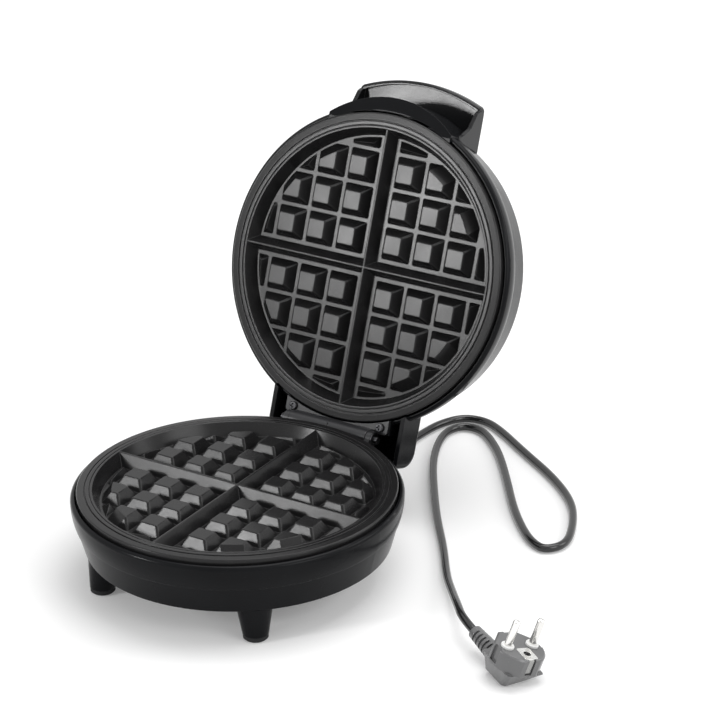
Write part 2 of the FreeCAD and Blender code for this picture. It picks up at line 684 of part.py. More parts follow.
def lower_hinge_screws():
    return [screw(x, LEDGE_SCREW_Y, LEDGE_Z + LEAF_T, False, HINGE_SCREW_DIA, LEAF_T + 4.5, 6.0, 1.8, True)
            for x in (-LEDGE_SCREW_X, LEDGE_SCREW_X)]


def hinge_pin():
    end = EAR_X + EAR_T + PIN_OUT
    return along_x(PIN_DIA / 2, -end, end)


def pin_clips():
    out = []
    for s in (-1, 1):
        x = s * (EAR_X + EAR_T + 0.5)
        ring = along_x(PIN_DIA, x - 0.5, x + 0.5)
        gap = box(x - 1, x + 1, AXIS_Y - 1.6, AXIS_Y + 1.6, AXIS_Z - PIN_DIA - 1, AXIS_Z)
        out.append(ring.cut([along_x(PIN_DIA / 2, x - 1.5, x + 1.5), gap]))
    return out


# Lid, drawn closed

def lid_outer_edges():
    lip = PART_Z + LIP_DROP
    crease = PART_Z + LID_CREASE
    wall_r = CREASE_R - CREASE_STEP
    p = [V(LIP_R - LIP_TURN, 0, lip), V(LIP_R, 0, lip + LIP_TURN_H), V(CREASE_R, 0, crease),
         V(wall_r, 0, crease + CREASE_STEP * 0.8), V(LID_TOP_R, 0, LID_TOP - LID_ROUND),
         V(CROWN_R, 0, LID_TOP - CROWN_DROP), V(0, 0, LID_TOP)]
    turn = V(LIP_R - LIP_TURN * 0.32, 0, lip + LIP_TURN_H * 0.28)
    band = V(LIP_R - CREASE_IN / 4, 0, (lip + LIP_TURN_H + crease) / 2)
    edge = V(LID_TOP_R - 2.4, 0, LID_TOP - (LID_ROUND + CROWN_DROP) * 0.4)
    e = [Part.makeLine(V(0, 0, lip), p[0])]
    e.append(Part.Arc(p[0], turn, p[1]).toShape())
    e.append(Part.Arc(p[1], band, p[2]).toShape())
    e.append(Part.makeLine(p[2], p[3]))
    e.append(Part.makeLine(p[3], p[4]))
    e.append(Part.Arc(p[4], edge, p[5]).toShape())
    e.append(Part.Arc(p[5], V(CROWN_R / 2, 0, LID_TOP - CROWN_DROP * 0.23), p[6]).toShape())
    e.append(Part.makeLine(p[6], V(0, 0, lip)))
    return e


def lid_outer():
    return revolve_edges(lid_outer_edges())


def lid_inner():
    lip = PART_Z + LIP_DROP
    top = LID_TOP - WALL
    return revolve([(0, lip - 1), (LIP_IN_R, lip - 1), (LIP_IN_R, PART_Z + LID_CREASE - 6.0),
                    (CREASE_R - CREASE_STEP - WALL, PART_Z + LID_CREASE),
                    (LID_TOP_R - WALL - 0.2, top - LID_ROUND + 2.0), (CROWN_R - 1.0, top - CROWN_DROP - 0.2),
                    (CROWN_R / 2, top - CROWN_DROP * 0.31), (0, top)])


def crown_inside(r):
    # Height of the inner face of the lid at a radius between its middle and its edge.
    t = (r - CROWN_R / 2) / (CROWN_R / 2 - 1.0)
    return LID_TOP - WALL - CROWN_DROP * 0.31 - t * (CROWN_DROP * 0.69 + 0.2)


def bow_wire(half, y_side, y_mid, z):
    # Outline with a bowed front edge; it ends in the middle of the lid.
    a = V(-half, -y_side, z)
    b = V(half, -y_side, z)
    c = V(half, 0, z)
    d = V(-half, 0, z)
    return Part.Wire([Part.Arc(a, V(0, -y_mid, z), b).toShape(), Part.makeLine(b, c),
                      Part.makeLine(c, d), Part.makeLine(d, a)])


def bow(half, y_side, y_mid, z0, z1):
    return Part.Face(bow_wire(half, y_side, y_mid, z0)).extrude(V(0, 0, z1 - z0))


def bulge(inset, z0):
    # Front swelling of the lid under the handle; its bowed wall leans back a little.
    z1 = PART_Z + TONGUE_H - inset
    side = LIP_R - BULGE_SIDE - inset * 0.8
    mid = LIP_R + BULGE_OUT - inset
    low = bow_wire(TONGUE_HALF - inset, side, mid, z0)
    high = bow_wire(TONGUE_HALF - 2.0 - inset, side - BULGE_LEAN + 0.5, mid - BULGE_LEAN, z1)
    return Part.makeLoft([low, high], True, True)


def swelling():
    # Its front face slants back from the parting plane towards the middle of the bow.
    body = bulge(0, PART_Z + BULGE_FRONT)
    near = LIP_R - BULGE_RUN
    far = LIP_R + BULGE_OUT + 5.0
    z0 = PART_Z + BULGE_FRONT
    z1 = z0 + BULGE_SLANT * (far - near)
    pts = [(-near, z0), (-far, z1), (-far, z0 - 5), (-near, z0 - 5)]
    return body.cut(prism_x(pts, -2 * TONGUE_HALF, 2 * TONGUE_HALF))


def hood_box():
    z1 = PART_Z + HOOD_H
    h = box(-HOOD_HALF, HOOD_HALF, 0, HOOD_Y, PART_Z, z1)
    rear = [e for e in h.Edges if e.BoundBox.YMin > HOOD_Y - 0.1 and e.BoundBox.ZMin > z1 - 0.1]
    h = h.makeFillet(HOOD_ROUND, rear)
    sides = [e for e in h.Edges if e.BoundBox.YMin > HOOD_Y - 0.1 and e.BoundBox.ZLength > 5]
    return h.makeFillet(HOOD_WALL + 1.0, sides)


def hood_hollow():
    y1 = HOOD_Y - HOOD_WALL
    z1 = PART_Z + HOOD_H - HOOD_WALL
    h = box(-HOOD_HALF + HOOD_WALL, HOOD_HALF - HOOD_WALL, 0, y1, PART_Z - 1, z1)
    rear = [e for e in h.Edges if e.BoundBox.YMin > y1 - 0.1 and e.BoundBox.ZMin > z1 - 0.1]
    return h.makeFillet(HOOD_ROUND - HOOD_WALL, rear)


def lid_shell():
    outer = lid_outer()
    inner = lid_inner()
    deep = BULGE_FRONT + BULGE_SLANT * (BULGE_OUT + BULGE_RUN) + WALL
    swell = swelling().cut(cyl(LIP_IN_R - 1, 0, 0, PART_Z, PART_Z + LIP_DROP))
    swell_in = bulge(WALL, PART_Z + deep)
    mouth = cyl(LIP_IN_R, 0, 0, PART_Z - 1, PART_Z + LIP_DROP + 1)
    hood = hood_box().cut(mouth)
    seat = box(-FLANGE_HALF - 0.5, FLANGE_HALF + 0.5, LEAF_Y - 13.0, LEAF_Y, PART_Z + LEAF_T, PART_Z + 12.0)
    seat = seat.cut(cyl(LIP_IN_R, 0, 0, PART_Z - 1, PART_Z + 13.0))
    room = hood_hollow().cut(outer)
    body = outer.fuse([swell, hood]).cut([inner, swell_in.cut(mouth), room])
    body = body.fuse([seat] + [mirrored(a).common(outer) for a in plate_arms()])
    cuts = [cyl(HINGE_SCREW_DIA / 2, x, HINGE_SCREW_Y, PART_Z + 1, PART_Z + 11.5)
            for x in (-HINGE_SCREW_X, HINGE_SCREW_X)]
    z = PART_Z + TONGUE_H
    cuts += [cyl(HANDLE_SCREW_DIA / 2 + 0.3, x, -HANDLE_SCREW_Y, z - 5, z + 1)
             for x in (-HANDLE_SCREW_X, HANDLE_SCREW_X)]
    cuts += [cyl(LENS_R + LENS_GAP, x, LAMP_Y, LID_TOP - 9, LID_TOP + 6) for x in (-LAMP_X, LAMP_X)]
    return body.cut(cuts).removeSplitter()


def lid_handle():
    seat_z = PART_Z + TONGUE_H
    z1 = seat_z + TONGUE_T
    z0 = seat_z - TONGUE_LIP
    skin = bow(TONGUE_HALF, TONGUE_SIDE, TONGUE_MID, z0, z1)
    upright = [e for e in skin.Edges if e.BoundBox.ZLength > TONGUE_T and e.BoundBox.YMax < -LIP_R]
    skin = skin.makeFillet(4.0, upright)
    rim = [e for e in skin.Edges if e.BoundBox.ZMin > z1 - 0.01 and e.BoundBox.YMin < -LIP_R]
    skin = skin.makeFillet(1.6, rim)
    rim = [e for e in skin.Edges if e.BoundBox.ZMax < z0 + 0.01 and e.BoundBox.YMin < -LIP_R]
    skin = skin.makeFillet(TONGUE_ROUND, rim)
    inside = TONGUE_HALF - TONGUE_RIM
    hollow = bow(inside, TONGUE_SIDE - TONGUE_RIM + 0.2, TONGUE_MID - TONGUE_RIM - 0.1, z0 - 1, seat_z)
    skin = skin.cut(hollow)
    pts = [(-TONGUE_SIDE + 2.2, z0 + 0.5), (-TONGUE_SIDE + 3.9, z0 - 2.5), (-LIP_R + 4.3, seat_z - 12.0),
           (-LIP_R + 8.8, seat_z - 19.5), (-LIP_R + 11.8, seat_z - 26.0), (-LIP_R + 27.8, seat_z - 26.0),
           (-LIP_R + 27.8, z1 - 1.0), (-TONGUE_SIDE + 4.4, z1 - 1.0)]
    sides = [prism_x(pts, -TONGUE_HALF, -inside), prism_x(pts, inside, TONGUE_HALF)]
    body = skin.fuse(sides)
    body = body.cut([lid_outer().fuse(bulge(0, PART_Z + BULGE_FRONT))])
    body = max(body.Solids, key=lambda s: s.Volume)
    return body.cut([cyl(HANDLE_SCREW_DIA / 2, x, -HANDLE_SCREW_Y, z0, seat_z + 2.6)
                     for x in (-HANDLE_SCREW_X, HANDLE_SCREW_X)])


def handle_screws():
    z = PART_Z + TONGUE_H - WALL
    return [screw(x, -HANDLE_SCREW_Y, z, True, HANDLE_SCREW_DIA, WALL + 2.4, 5.0, 1.8, False)
            for x in (-HANDLE_SCREW_X, HANDLE_SCREW_X)]


def lamp_lens(x):
    r = math.hypot(x, LAMP_Y)
    top = LID_TOP - CROWN_DROP * (r / CROWN_R) ** 2
    seat = crown_inside(r + LENS_FLANGE_R) - 0.03
    stem = cyl(LENS_R, x, LAMP_Y, seat - LENS_FLANGE_T / 2, top + 1.2)
    face = [e for e in stem.Edges if e.BoundBox.ZMin > top + 1.1]
    stem = stem.makeFillet(1.1, face)
    return stem.fuse(cyl(LENS_FLANGE_R, x, LAMP_Y, seat - LENS_FLANGE_T, seat)).removeSplitter()


def lamp_bodies():
    out = []
    for x in (-LAMP_X, LAMP_X):
        seat = crown_inside(math.hypot(x, LAMP_Y) + LENS_FLANGE_R) - 0.03 - LENS_FLANGE_T
        out.append(cyl(LENS_R - 1.0, x, LAMP_Y, seat - 8.0, seat))
    return out


# Cord and plug

def cord_gland():
    # Rubber boot held in the rear wall of the heel.
    def rod(r1, r2, y0, y1):
        if r1 == r2:
            return Part.makeCylinder(r1, y1 - y0, V(0, y0, GLAND_Z), V(0, 1, 0))
        return Part.makeCone(r1, r2, y1 - y0, V(0, y0, GLAND_Z), V(0, 1, 0))
    flange = HEEL_ROOM / 2 - GLAND_EDGE
    body = rod(flange, flange, HEEL_Y - WALL - 3, HEEL_Y - WALL)
    collar = GLAND_R + 1.8
    body = body.fuse([rod(GLAND_R, GLAND_R, HEEL_Y - WALL, HEEL_Y), rod(collar, collar, HEEL_Y, HEEL_Y + 3),
                      rod(GLAND_R + 0.2, GLAND_R - 1.2, HEEL_Y + 3, BOOT_END_Y)])
    slots = []
    for i in range(4):
        y = HEEL_Y + 6.0 + 5.0 * i
        core = GLAND_R - 1.4 - 0.25 * i
        slots.append(rod(GLAND_R + 3, GLAND_R + 3, y, y + 1.8).cut(rod(core, core, y - 1, y + 3)))
    return body.cut(slots).removeSplitter()


def cord_tail(block_rear):
    end_z = COVER_TOP + 4.6
    pts = [(0, HEEL_Y - WALL - 3, GLAND_Z), (0, FOOT_LINE_R - TAIL_IN, GLAND_Z),
           (0, FOOT_LINE_R - TAIL_IN - TAIL_RISE, end_z), (0, block_rear, end_z)]
    return tube(pts, CORD_DIA)[0]


def cord_clamp():
    z = PAD_H + HEEL_FLOOR
    y0 = CLAMP_Y - CLAMP_W / 2
    y1 = CLAMP_Y + CLAMP_W / 2
    wide = CLAMP_SCREW_X + 3.5
    body = box(-wide, wide, y0, y1, z, z + 3.0).fuse(box(-5, 5, y0, y1, z, GLAND_Z + CORD_DIA / 2 + 2.0))
    hole = Part.makeCylinder(CORD_DIA / 2, CLAMP_W + 2, V(0, y0 - 1, GLAND_Z), V(0, 1, 0))
    holes = [cyl(CLAMP_SCREW_DIA / 2 + 0.2, x, CLAMP_Y, z - 1, z + 4)
             for x in (-CLAMP_SCREW_X, CLAMP_SCREW_X)]
    return body.cut([hole] + holes).removeSplitter()


def clamp_screws():
    z = PAD_H + HEEL_FLOOR + 3.0
    return [screw(x, CLAMP_Y, z, False, CLAMP_SCREW_DIA, 5.2, 4.6, 1.7, False)
            for x in (-CLAMP_SCREW_X, CLAMP_SCREW_X)]


def plug_axes():
    t = math.radians(PLUG_TILT)
    h = math.radians(PLUG_HEADING)
    r = math.radians(PLUG_ROLL)
    c = V(math.cos(h) * math.cos(t), math.sin(h) * math.cos(t), math.sin(t))
    level = V(math.sin(h), -math.cos(h), 0)
    up = level.cross(c)
    return level * math.cos(r) - up * math.sin(r), c, up * math.cos(r) + level * math.sin(r)


def placed(shape):
    b, c, a = plug_axes()
    m = FreeCAD.Matrix(b.x, c.x, a.x, PLUG_FACE.x, b.y, c.y, a.y, PLUG_FACE.y,
                       b.z, c.z, a.z, PLUG_FACE.z, 0, 0, 0, 1)
    s = shape.copy()
    s.Placement = FreeCAD.Placement(m).multiply(s.Placement)
    return s


def rectangle(half, y0, y1, z):
    c = [V(-half, y0, z), V(half, y0, z), V(half, y1, z), V(-half, y1, z)]
    return Part.makePolygon(c + c[:1])


def sole_point(x, y):
    across = x * math.tan(math.radians(PLUG_ROLL))
    return V(x, y, across - y * math.tan(math.radians(SOLE_PITCH)) - PLUG_DEPTH)


def plug_body():
    top = cyl(PLUG_R, 0, 0, -PLUG_DISC, 0)
    far = PLUG_R + 5
    corner = box(-far, far, PLUG_CORNER, far, -far, 5)
    flats = [box(-far, far, PLUG_FLAT, far, -far, 5), box(-far, far, -far, -PLUG_FLAT, -far, 5)]
    top = top.cut(flats + around(corner, (-45, 45)))
    edge = [e for e in top.Edges if e.BoundBox.ZMin > -0.01]
    top = top.makeChamfer(1.0, edge)
    root = rectangle(PLUG_R - 2.6, 1.0 - PLUG_FLAT, PLUG_FLAT - 1.2, -PLUG_DISC)
    y0 = 6.3 - PLUG_FLAT
    y1 = PLUG_FLAT - 2.8
    c = [sole_point(-SOLE_HALF, y0), sole_point(SOLE_HALF, y0), sole_point(SOLE_HALF - 1.5, y1),
         sole_point(1.5 - SOLE_HALF, y1)]
    foot = Part.makeLoft([root, Part.makePolygon(c + c[:1])], True, True)
    upright = [e for e in foot.Edges if e.BoundBox.ZLength > 3 and e.BoundBox.XLength < 6]
    foot = foot.makeFillet(3.5, upright)
    sole = min(foot.Faces, key=lambda f: f.CenterOfMass.z)
    foot = foot.makeFillet(1.6, sole.Edges)
    body = top.fuse(foot)
    cuts = []
    for x in (-PIN_PITCH / 2, PIN_PITCH / 2):
        cuts.append(cyl(PIN_R, x, 0, -PIN_ROOT, 1))
        cuts.append(cyl(COLLAR_R, x, 0, -COLLAR_SINK, 1))
    cuts.append(earth_plate_solid(0))
    cuts.append(cyl(PIN_R, 0, EARTH_Y, -PIN_ROOT, 1))
    wide = CLIP_HALF + 0.7
    for s in (-1, 1):
        lo, hi = sorted((s * (PLUG_R - NOTCH_DEPTH), s * far))
        cuts.append(box(lo, hi, -NOTCH_HALF, NOTCH_HALF, 1.5 - PLUG_DISC, 1))
        lo, hi = sorted((s * (PLUG_FLAT - NOTCH_DEPTH), s * far))
        cuts.append(box(-wide, wide, lo, hi, 1.0 - PLUG_DISC, 1))
    return body.cut(cuts).removeSplitter()


def earth_plate_solid(hole):
    p = box(-EARTH_HALF, EARTH_HALF, EARTH_Y - EARTH_LONG, EARTH_Y + EARTH_LONG, -1.0, 0.2)
    upright = [e for e in p.Edges if e.BoundBox.ZLength > 1]
    p = p.makeFillet(1.2, upright)
    return p.cut(cyl(hole, 0, EARTH_Y, -2, 1)) if hole else p


def plug_collars():
    out = []
    for x in (-PIN_PITCH / 2, PIN_PITCH / 2):
        ring = cyl(COLLAR_R, x, 0, -COLLAR_SINK, COLLAR_H)
        edge = [e for e in ring.Edges if e.BoundBox.ZMin > COLLAR_H - 0.01]
        out.append(ring.makeFillet(0.7, edge).cut(cyl(PIN_R, x, 0, -2, COLLAR_H + 1)))
    return out


def plug_pins():
    out = []
    for x in (-PIN_PITCH / 2, PIN_PITCH / 2):
        p = cyl(PIN_R, x, 0, -PIN_ROOT, PIN_LEN)
        tip = [e for e in p.Edges if e.BoundBox.ZMin > PIN_LEN - 0.01]
        out.append(p.makeFillet(PIN_R * 0.67, tip))
    return out


def plug_clips():
    out = []
    for s in (-1, 1):
        lo, hi = sorted((s * (PLUG_FLAT - NOTCH_DEPTH), s * (PLUG_FLAT - NOTCH_DEPTH + 1.0)))
        out.append(box(-CLIP_HALF, CLIP_HALF, lo, hi, 2.0 - PLUG_DISC, -1.0))
    return out


def plug_relief():
    z = -RELIEF_DEPTH
    y0 = PLUG_FLAT - 0.1
    length = RELIEF_END - RELIEF_START
    body = Part.makeCone(RELIEF_R, RELIEF_TIP_R, length, V(0, RELIEF_START, z), V(0, 1, 0))
    cuts = [plug_body()]
    for i in range(5):
        y = y0 + 3.2 + 3.8 * i
        ring = Part.makeCylinder(RELIEF_R + 2, 1.7, V(0, y, z), V(0, 1, 0))
        core = Part.makeCylinder(RELIEF_TIP_R - 0.5 - 0.22 * i, 3, V(0, y - 0.6, z), V(0, 1, 0))
        side = box(-1.6, 1.6, y - 1, y + 3, z - 10, z + 10)
        cuts.append(ring.cut([core, side]))
    return body.cut(cuts).removeSplitter()


def cord_route():
    b, c, a = plug_axes()
    e = PLUG_FACE + c * RELIEF_END - a * RELIEF_DEPTH
    lay = CORD_DIA / 2
    n = e + c * 15.0
    start = [(0, BOOT_END_Y, GLAND_Z), (0, 168, GLAND_Z), (-1, 190, 7.0), (-0.5, 211, lay)]
    flat = [(0, 231), (2.5, 251), (11.5, 268.5), (28.5, 272), (46, 263.5), (77, 241.5), (114, 217),
            (143.5, 190), (160, 160), (168.5, 134.5), (160.5, 120.5), (145.5, 120.5), (132, 137),
            (113, 162.5), (88.5, 197), (64, 229.5), (46.5, 247.5), (32.5, 258), (18.5, 257),
            (13, 243.5), (17, 224.5), (29, 197), (50.5, 162), (76, 123.5)]
    rise = [(102, 88.5, lay + 0.2), (124.5, 54, 4.3), (142, 31.7, 8.0), (158, 11.3, 12.6)]
    return start + [(x, y, lay) for x, y in flat] + rise + [(n.x, n.y, n.z), (e.x, e.y, e.z)]


def main():
    os.makedirs("parts", exist_ok=True)
    heater, leg_at, leg_end = element()
    block_rear = block_front(leg_at) + BLOCK_D
    cook = plate()
    save("lower_plate", cook)
    save("upper_plate", opened(mirrored(cook)))
    save("lower_element", heater)
    save("upper_element", opened(mirrored(heater)))
    low_shield = shield(leg_at)
    save("lower_heat_shield", low_shield)
    save("upper_heat_shield", opened(mirrored(low_shield)))
    save("lower_plate_screws", plate_screws())
    save("upper_plate_screws", opened(mirrored(plate_screws())))
    ends = element_ends(leg_at, leg_end)
    save("lower_element_terminals", group(ends))
    save("upper_element_terminals", opened(group([mirrored(e) for e in ends])))
    stat = thermostat(UNDER_Z)
    save("lower_thermostat", stat)
    save("upper_thermostat", opened(mirrored(stat)))

    save("base_shell", base_shell())
    save("base_cover", base_cover(block_rear))
    save("base_cover_screws", cover_screws())
    for name, sx, sy in (("foot_pad_front_left", -1, -1), ("foot_pad_front_right", 1, -1),
                         ("foot_pad_rear_left", -1, 1), ("foot_pad_rear_right", 1, 1)):
        save(name, pad(sx * LEG_X, sy * LEG_Y, LEG_LOW_R - LEG_PAD_EDGE))
    save("heel_pad_left", pad(-HEEL_PAD_X, HEEL_PAD_Y, HEEL_PAD_R))
    save("heel_pad_right", pad(HEEL_PAD_X, HEEL_PAD_Y, HEEL_PAD_R))
    save("terminal_block", terminal_block(leg_at))
    save("element_leads", group(element_leads(leg_at, leg_end)))
    save("thermostat_lead", thermostat_lead(leg_at))

    save("lower_hinge_bracket", lower_bracket())
    save("lower_hinge_screws", group(lower_hinge_screws()))
    save("hinge_pin", hinge_pin())
    save("hinge_pin_clips", group(pin_clips()))

    save("lid_shell", opened(lid_shell()))
    save("lid_handle", opened(lid_handle()))
    save("handle_screws", opened(group(handle_screws())))
    save("lid_hinge_bracket", opened(lid_bracket()))
    save("lid_hinge_screws", opened(group(lid_hinge_screws())))
    save("power_lamp_lens", opened(lamp_lens(-LAMP_X)))
    save("ready_lamp_lens", opened(lamp_lens(LAMP_X)))
    save("lamp_bodies", opened(group(lamp_bodies())))

    save("cord_gland", cord_gland())
    save("cord_tail", cord_tail(block_rear))
    save("cord_clamp", cord_clamp())
    save("cord_clamp_screws", group(clamp_screws()))
    cord, length, radii = tube(cord_route(), CORD_DIA)
    save("mains_cord", cord)
    print("cord radii", [round(r, 1) for r in radii], "least", round(min(radii), 1))
    section = math.pi * CORD_DIA ** 2 / 4
    print("cord volume", round(cord.Volume), "section x length", round(section * length))
    print("cord length", round(length))
    housing = placed(plug_body())
    low = min(p.z for p in housing.tessellate(0.1)[0])
    print("plug above the table", round(low, 2))
    save("plug_body", housing)
    save("plug_pins", placed(group(plug_pins())))
    save("plug_pin_collars", placed(group(plug_collars())))
    save("plug_earth_plate", placed(earth_plate_solid(PIN_R)))
    save("plug_earth_clips", placed(group(plug_clips())))
    save("plug_relief", placed(plug_relief()))


main()
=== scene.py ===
import math
import bpy
from mathutils import Matrix, Vector


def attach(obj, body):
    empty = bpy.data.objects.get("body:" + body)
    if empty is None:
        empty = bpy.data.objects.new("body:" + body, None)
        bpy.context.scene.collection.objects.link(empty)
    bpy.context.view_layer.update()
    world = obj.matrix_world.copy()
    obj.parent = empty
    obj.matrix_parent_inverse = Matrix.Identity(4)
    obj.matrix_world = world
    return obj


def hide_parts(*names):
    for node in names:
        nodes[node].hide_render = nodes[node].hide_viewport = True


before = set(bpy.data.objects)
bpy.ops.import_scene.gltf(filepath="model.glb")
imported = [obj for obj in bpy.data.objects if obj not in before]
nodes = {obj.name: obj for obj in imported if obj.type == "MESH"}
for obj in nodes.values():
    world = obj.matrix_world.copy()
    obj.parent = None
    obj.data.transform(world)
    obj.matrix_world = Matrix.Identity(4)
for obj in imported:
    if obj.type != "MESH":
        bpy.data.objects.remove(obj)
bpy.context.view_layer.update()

scene = bpy.context.scene

# Camera at the photograph's viewing angle, in degrees, metres and millimetres of film
AZIMUTH = 32.33
ELEVATION = 24.28
ROLL = -0.63
DISTANCE = 1.98326
SHIFT_RIGHT = 0.07834
SHIFT_UP = 0.13620
FOCAL_LENGTH = 152.0
SENSOR_WIDTH = 36.0
CLIP_NEAR = 0.05
CLIP_FAR = 50.0

# Mains cord, in metres
CORD_EXIT = (0, .150, .0136)
CORD_DIAMETER = .0055

# Floor and surroundings: metres, then emission strengths, where 1 is white
FLOOR_HALF = 6
FLOOR_DROP = 0.0005
FLOOR_TONE = .86
FLOOR_ROUGHNESS = .9
# Floor glow from near the part to far off: the dimmer glow near the part is a painted shade around it
PAINTED_SHADE_GLOW_DISTANCE = (.12, 2.6)
PAINTED_SHADE_GLOW_STRENGTH = (.16, .63)
WORLD_STRENGTH = .45
WHITE = (1, 1, 1, 1)

# Soft studio lamps: place, aim and size in metres
LAMPS = {
    "key": dict(place=(-.762, -1.199, .606), aim=(0, .143, .162), size=(.22, .30), watts=7.5),
    "top": dict(place=(.1, .4, 1.7), aim=(0, 0, 0), size=(1.4, 1.4), watts=19),
    "right": dict(place=(1.5, -.3, .9), aim=(0, 0, .1), size=(.8, .8), watts=7),
    "right_back": dict(place=(1.3, .9, .9), aim=(0, 0, .1), size=(.8, .8), watts=6),
}

# The middle band of a noise, where most of its values lie, and the whole range of a share
MIDDLE = (.3, .7)
WHOLE = (0, 1)


def add_object(name, data):
    made = bpy.data.objects.new(name, data)
    scene.collection.objects.link(made)
    return made


def add_camera():
    azimuth, elevation, roll = math.radians(AZIMUTH), math.radians(ELEVATION), math.radians(ROLL)
    back = Vector((math.sin(azimuth) * math.cos(elevation), -math.cos(azimuth) * math.cos(elevation),
                   math.sin(elevation)))
    level = Vector((math.cos(azimuth), math.sin(azimuth), 0))
    rise = back.cross(level)
    right = level * math.cos(roll) + rise * math.sin(roll)
    up = rise * math.cos(roll) - level * math.sin(roll)
    spot = back * DISTANCE + right * SHIFT_RIGHT + up * SHIFT_UP
    lens = bpy.data.cameras.new("camera")
    lens.sensor_width = SENSOR_WIDTH
    lens.lens = FOCAL_LENGTH
    lens.clip_start = CLIP_NEAR
    lens.clip_end = CLIP_FAR
    camera = add_object("camera", lens)
    camera.matrix_world = Matrix.Translation(spot) @ Matrix((right, up, back)).transposed().to_4x4()
    scene.camera = camera


add_camera()

# Mains cord: out of the gland, down to the table, round the loop and up into the plug
lay = CORD_DIAMETER / 2
route = [CORD_EXIT, (0, .168, .0136), (-.001, .190, .007), (-.0005, .211, lay), (0, .231, lay),
         (.0025, .251, lay), (.0115, .2685, lay), (.0285, .272, lay), (.046, .2635, lay), (.077, .2415, lay),
         (.114, .217, lay), (.1435, .190, lay), (.160, .160, lay), (.1685, .1345, lay), (.160, .121, lay),
         (.1485, .1255, lay), (.1345, .1378, lay), (.113, .1625, lay), (.0885, .197, lay), (.064, .2295, lay),
         (.0465, .2475, lay), (.0325, .258, lay), (.0185, .257, lay), (.013, .2435, lay), (.017, .2245, lay),
         (.029, .197, lay), (.0505, .162, lay), (.076, .1235, lay), (.102, .0885, .00295),
         (.1245, .054, .0043), (.142, .0317, .008), (.158, .0113, .0126), (.17128, -.00562, .01535),
         (.18433, -.01241, .01243)]
line = bpy.data.curves.new("mains_lead", "CURVE")
line.dimensions = "3D"
line.bevel_depth = 1.0  # the radius of each point gives the cord its own
line.bevel_resolution = 8
line.resolution_u = 12
line.use_fill_caps = True
spline = line.splines.new("NURBS")
spline.points.add(len(route) - 1)
for point, place in zip(spline.points, route):
    point.co = (*place, 1)
    point.radius = lay
spline.order_u = 3
spline.use_endpoint_u = True
cord = add_object("mains_lead", line)
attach(cord, "base")
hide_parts("mains_cord")


class Nodes:
    """Short calls that add nodes to a node tree and link them."""

    def __init__(self, tree):
        self.tree = tree

    def node(self, kind, settings=None, **inputs):
        made = self.tree.nodes.new("ShaderNode" + kind)
        for key, value in (settings or {}).items():
            setattr(made, key, value)
        for key, value in inputs.items():
            self.feed(made.inputs[key.replace("_", " ")], value)
        return made

    def feed(self, socket, value):
        if isinstance(value, bpy.types.NodeSocket):
            self.tree.links.new(value, socket)
        else:
            socket.default_value = value

    def span(self, value, source, target):
        """The value with its range source carried over to the range target."""
        made = self.node("MapRange", Value=value, From_Min=source[0], From_Max=source[1], To_Min=target[0],
                         To_Max=target[1])
        return made.outputs["Result"]

    def sums(self, operation, first, second):
        made = self.node("Math", {"operation": operation, "use_clamp": True})
        self.feed(made.inputs[0], first)
        self.feed(made.inputs[1], second)
        return made.outputs[0]

    def sees_white(self):
        """1 on rays that show the background, and 0 on those that light the part."""
        path = self.node("LightPath")
        shown = self.sums("MAXIMUM", path.outputs["Is Camera Ray"], path.outputs["Is Glossy Ray"])
        return self.sums("MAXIMUM", shown, path.outputs["Is Transmission Ray"])


class Finish(Nodes):
    """A node material laid out in the part's own coordinates, in metres."""

    def __init__(self, name, **constants):
        self.material = bpy.data.materials.new(name)
        self.material.use_nodes = True
        super().__init__(self.material.node_tree)
        self.shader = self.tree.nodes["Principled BSDF"]
        self.place = self.node("TexCoord").outputs["Object"]
        for key, value in constants.items():
            self.shader.inputs[key.replace("_", " ")].default_value = value

    def noise(self, scale, detail=2.0, roughness=0.5, stretch=None):
        place = self.place
        if stretch:
            place = self.node("Mapping", Vector=place, Scale=stretch).outputs[0]
        made = self.node("TexNoise", Vector=place, Scale=scale, Detail=detail, Roughness=roughness)
        return made.outputs["Fac"]

    def flecks(self, scale, size, soft):
        cells = self.node("TexVoronoi", Vector=self.place, Scale=scale).outputs["Distance"]
        return self.span(cells, (size, size + soft), (1, 0))

    def tint(self, share, first, second):
        made = self.node("Mix", {"data_type": "RGBA"})
        self.feed(made.inputs[0], share)
        for socket, colour in ((made.inputs[6], first), (made.inputs[7], second)):
            self.feed(socket, colour if isinstance(colour, bpy.types.NodeSocket) else (*colour, 1))
        return made.outputs[2]

    def soft_edges(self, radius):
        return self.node("Bevel", {"samples": 6}, Radius=radius).outputs[0]

    def edge_mask(self, rounded, low=0.015, high=0.2):
        """0 on flat faces and 1 where the rounded normal turns away from the true one."""
        made = self.node("VectorMath", {"operation": "DOT_PRODUCT"})
        self.feed(made.inputs[0], rounded)
        self.feed(made.inputs[1], self.node("NewGeometry").outputs["Normal"])
        return self.span(made.outputs["Value"], (1 - low, 1 - high), WHOLE)

    def relief(self, height, strength, depth, under=None):
        made = self.node("Bump", Height=height, Strength=strength, Distance=depth)
        if under is not None:
            self.feed(made.inputs["Normal"], under)
        return made.outputs[0]

    def done(self, colour, roughness, normal):
        self.feed(self.shader.inputs["Base Color"], colour)
        self.feed(self.shader.inputs["Roughness"], roughness)
        self.feed(self.shader.inputs["Normal"], normal)
        return self.material


